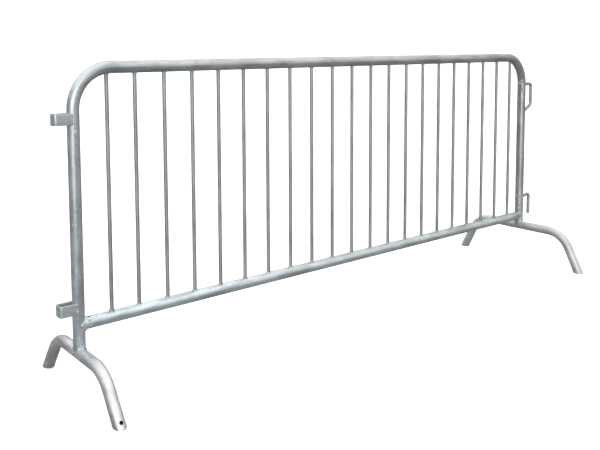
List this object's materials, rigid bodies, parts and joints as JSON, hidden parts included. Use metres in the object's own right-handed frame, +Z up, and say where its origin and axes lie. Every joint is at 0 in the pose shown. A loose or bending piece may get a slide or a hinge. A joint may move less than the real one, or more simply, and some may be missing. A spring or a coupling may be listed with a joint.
{
  "type": "crowd control barrier",
  "caption": "Free-standing galvanised steel barrier panel with upright bars, arched tube feet, and hooks and strap loops that link it to the next one.",
  "frame": {"origin": "on the ground, under the middle of the barrier's bounding box", "axes": "+X runs along the barrier from the strap loops to the hooks, +Y across it and +Z up"},
  "size_m": [2.6854, 0.716, 1.095],
  "materials": {
    "galvanised_tube": "hot-dip galvanised, dull grey with light runs and faint spangle",
    "galvanised_rod": "hot-dip galvanised, darker even grey",
    "galvanised_strap": "hot-dip galvanised flat bar, smooth blue grey"
  },
  "bodies": {
    "root": {"frame_tube": "galvanised_tube", "bottom_rail": "galvanised_tube", "bar_01": "galvanised_rod", "bar_02": "galvanised_rod", "bar_03": "galvanised_rod", "bar_04": "galvanised_rod", "bar_05": "galvanised_rod", "bar_06": "galvanised_rod", "bar_07": "galvanised_rod", "bar_08": "galvanised_rod", "bar_09": "galvanised_rod", "bar_10": "galvanised_rod", "bar_11": "galvanised_rod", "bar_12": "galvanised_rod", "bar_13": "galvanised_rod", "bar_14": "galvanised_rod", "bar_15": "galvanised_rod", "bar_16": "galvanised_rod", "bar_17": "galvanised_rod", "bar_18": "galvanised_rod", "bar_19": "galvanised_rod", "bar_20": "galvanised_rod", "bar_21": "galvanised_rod", "left_foot": "galvanised_tube", "right_foot": "galvanised_tube", "upper_strap_loop": "galvanised_strap", "lower_strap_loop": "galvanised_strap", "upper_hook": "galvanised_rod", "lower_hook": "galvanised_rod"}
  },
  "joints": []
}
